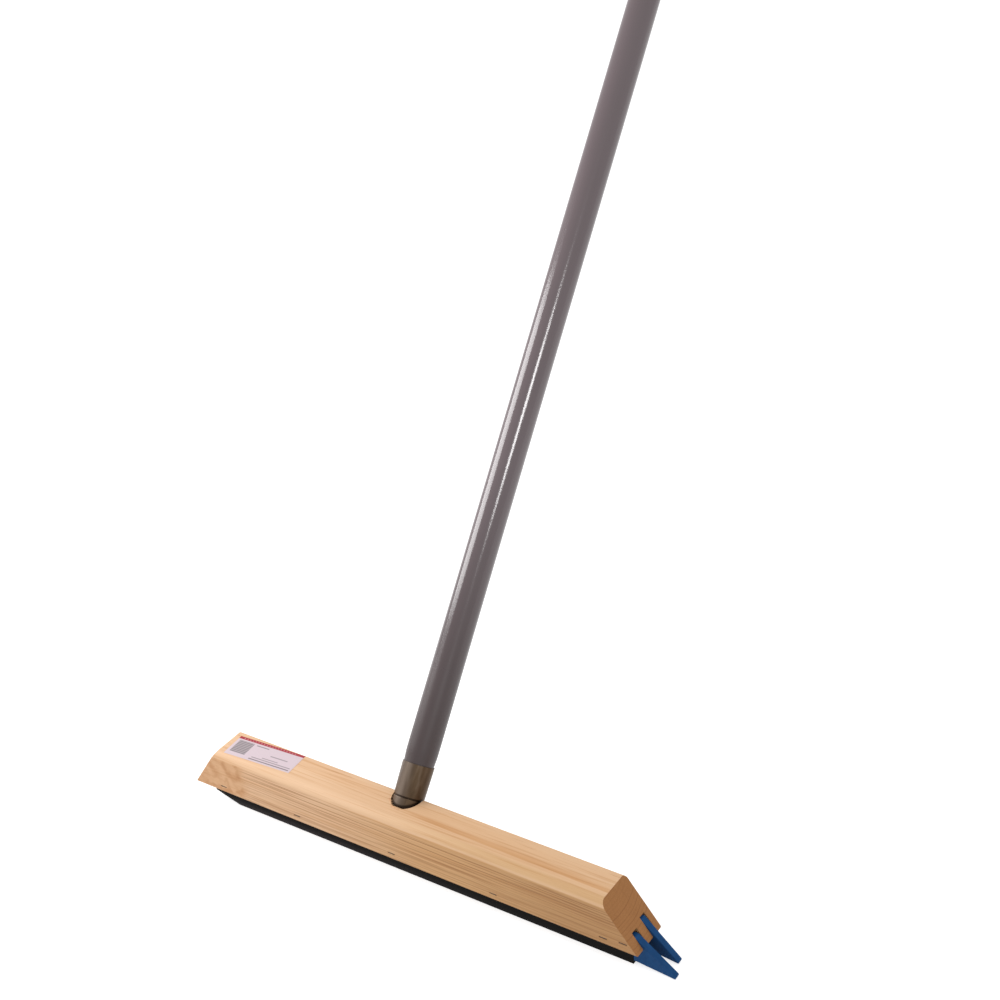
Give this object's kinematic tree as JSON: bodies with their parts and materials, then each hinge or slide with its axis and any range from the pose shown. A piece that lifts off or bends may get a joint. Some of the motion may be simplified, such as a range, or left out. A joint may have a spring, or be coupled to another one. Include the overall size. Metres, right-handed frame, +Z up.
{
  "type": "floor squeegee",
  "caption": "Wooden floor squeegee: slanted pine block with black rubber lips, blue corner blades at one end and a screw-in coated handle that leans back.",
  "frame": {"origin": "on the handle's centre line where a hand holds the squeegee up, 1.15 m along the handle from the block and 0.949 m above the floor", "axes": "+X along the block towards the corner blades, +Y towards the side that the handle leans to, +Z up"},
  "size_m": [0.4765, 0.8939, 1.1042],
  "materials": {
    "pine": "planed, unvarnished",
    "black_rubber": "matt",
    "blue_rubber": "satin",
    "staple_wire": "dull, slightly rusted",
    "label_paper": "matt, with a plain red band, a hatched grey panel and ruled lines, and no text",
    "ferrule_metal": "dull, grey-brown",
    "coated_tube": "gloss coat with a fine orange peel",
    "cap_plastic": "moulded, satin"
  },
  "bodies": {
    "block": {"wood_block": "pine", "front_lip": "black_rubber", "rear_lip": "black_rubber", "front_corner_blade": "blue_rubber", "rear_corner_blade": "blue_rubber", "front_staples": "staple_wire", "rear_staples": "staple_wire", "paper_label": "label_paper"},
    "tip": {"threaded_tip": "ferrule_metal"},
    "handle": {"ferrule_sleeve": "ferrule_metal", "handle_tube": "coated_tube", "hanger_cap": "cap_plastic"}
  },
  "joints": [
    {"name": "handle_travel", "type": "slide", "parent": "block", "child": "tip", "axis": [0, 0.6347, 0.7727], "range_m": [0, 0.0125]},
    {"name": "handle_turn", "type": "hinge", "parent": "tip", "child": "handle", "pos_m": [0, 0, 0], "axis": [0, 0.6347, 0.7727], "range_deg": [0, 900]}
  ],
  "couplings": [
    {"joint": "handle_turn", "follows": "handle_travel", "rad_per_m": 1256.6}
  ]
}
